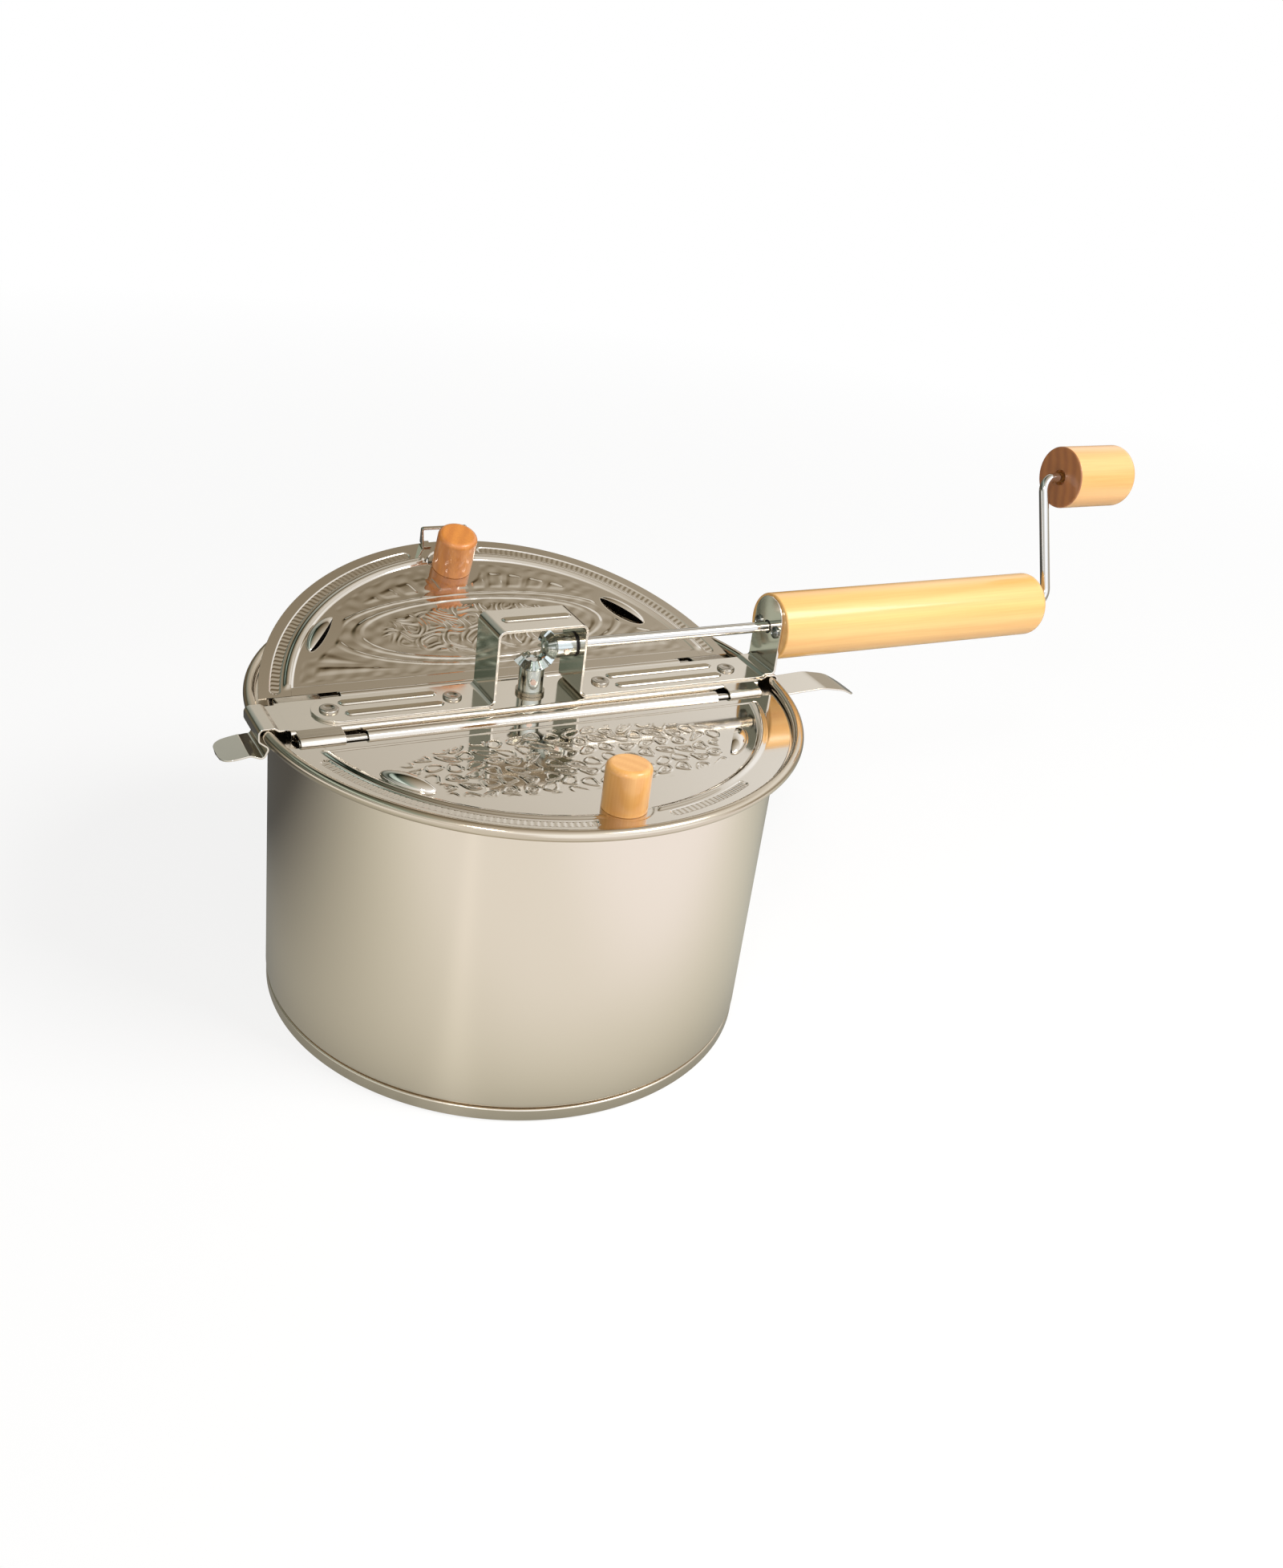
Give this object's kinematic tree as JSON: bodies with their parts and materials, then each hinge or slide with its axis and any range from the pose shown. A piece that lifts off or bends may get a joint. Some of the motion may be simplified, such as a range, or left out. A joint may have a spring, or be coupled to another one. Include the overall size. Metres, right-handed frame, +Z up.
{
  "type": "stovetop popcorn popper",
  "caption": "Lidded steel pot whose stirrer turns by a crank through mitre gears, with a wooden handle in line with the crank and hinged half lids.",
  "frame": {"origin": "middle of the base disc's underside", "axes": "+Z up, +X along the bridge plate towards the handle and crank, +Y towards the back lid"},
  "size_m": [0.4866, 0.248, 0.2474],
  "materials": {
    "brushed_steel_pot": "satin brushed stainless steel, rolled bead and ledge polished",
    "polished_steel_sheet": "bright rolled stainless sheet, near mirror",
    "aluminium_base": "plain aluminium disc",
    "brass_bushing": "turned, plain",
    "polished_rivets": "bright steel, set",
    "bright_pins": "drawn bright steel",
    "bright_rod": "plated bright wire",
    "zinc_gears": "die-cast zinc, satin",
    "black_washer": "matte",
    "bright_screws": "plated, bright",
    "lacquered_wood": "pale wood, clear gloss lacquer",
    "aluminium_hub": "turned, satin"
  },
  "bodies": {
    "root": {"pot_body": "brushed_steel_pot", "base_disc": "aluminium_base", "bridge_plate": "polished_steel_sheet", "shaft_bushing": "brass_bushing", "gear_bracket": "polished_steel_sheet", "bracket_rivets": "polished_rivets", "handle_grip": "lacquered_wood", "handle_screws": "bright_screws", "front_hinge_pin": "bright_pins", "back_hinge_pin": "bright_pins"},
    "crank": {"crank_rod": "bright_rod", "crank_gear": "zinc_gears", "crank_gear_pin": "bright_pins", "crank_leg_washer": "black_washer", "rod_push_nut": "bright_screws"},
    "knob": {"crank_knob": "lacquered_wood"},
    "stirrer": {"stirrer_shaft": "bright_rod", "stirrer_gear": "zinc_gears", "stirrer_gear_pin": "bright_pins", "stirrer_thrust_washer": "black_washer", "stirrer_hub": "aluminium_hub", "stirrer_wire_1": "bright_rod", "stirrer_wire_2": "bright_rod"},
    "front": {"front_lid": "polished_steel_sheet", "front_lid_knob": "lacquered_wood", "front_knob_washer": "bright_screws", "front_knob_screw": "bright_screws"},
    "back": {"back_lid": "polished_steel_sheet", "back_lid_knob": "lacquered_wood", "back_knob_washer": "bright_screws", "back_knob_screw": "bright_screws", "back_lid_strap": "polished_steel_sheet"}
  },
  "joints": [
    {"name": "crank_spin", "type": "hinge", "parent": "root", "child": "crank", "pos_m": [0, 0, 0.172], "axis": [1, 0, 0], "continuous": true},
    {"name": "crank_knob_spin", "type": "hinge", "parent": "crank", "child": "knob", "pos_m": [0.3065, 0.02356, 0.23151], "axis": [1, 0, 0], "continuous": true},
    {"name": "stirrer_spin", "type": "hinge", "parent": "root", "child": "stirrer", "pos_m": [0, 0, 0.172], "axis": [0, 0, 1], "continuous": true},
    {"name": "front_lid_hinge", "type": "hinge", "parent": "root", "child": "front", "pos_m": [0, -0.0185, 0.1465], "axis": [-1, 0, 0], "range_deg": [0, 85]},
    {"name": "back_lid_hinge", "type": "hinge", "parent": "root", "child": "back", "pos_m": [0, 0.0185, 0.1465], "axis": [1, 0, 0], "range_deg": [-19, 66]}
  ],
  "couplings": [
    {"joint": "stirrer_spin", "follows": "crank_spin", "ratio": 1}
  ]
}
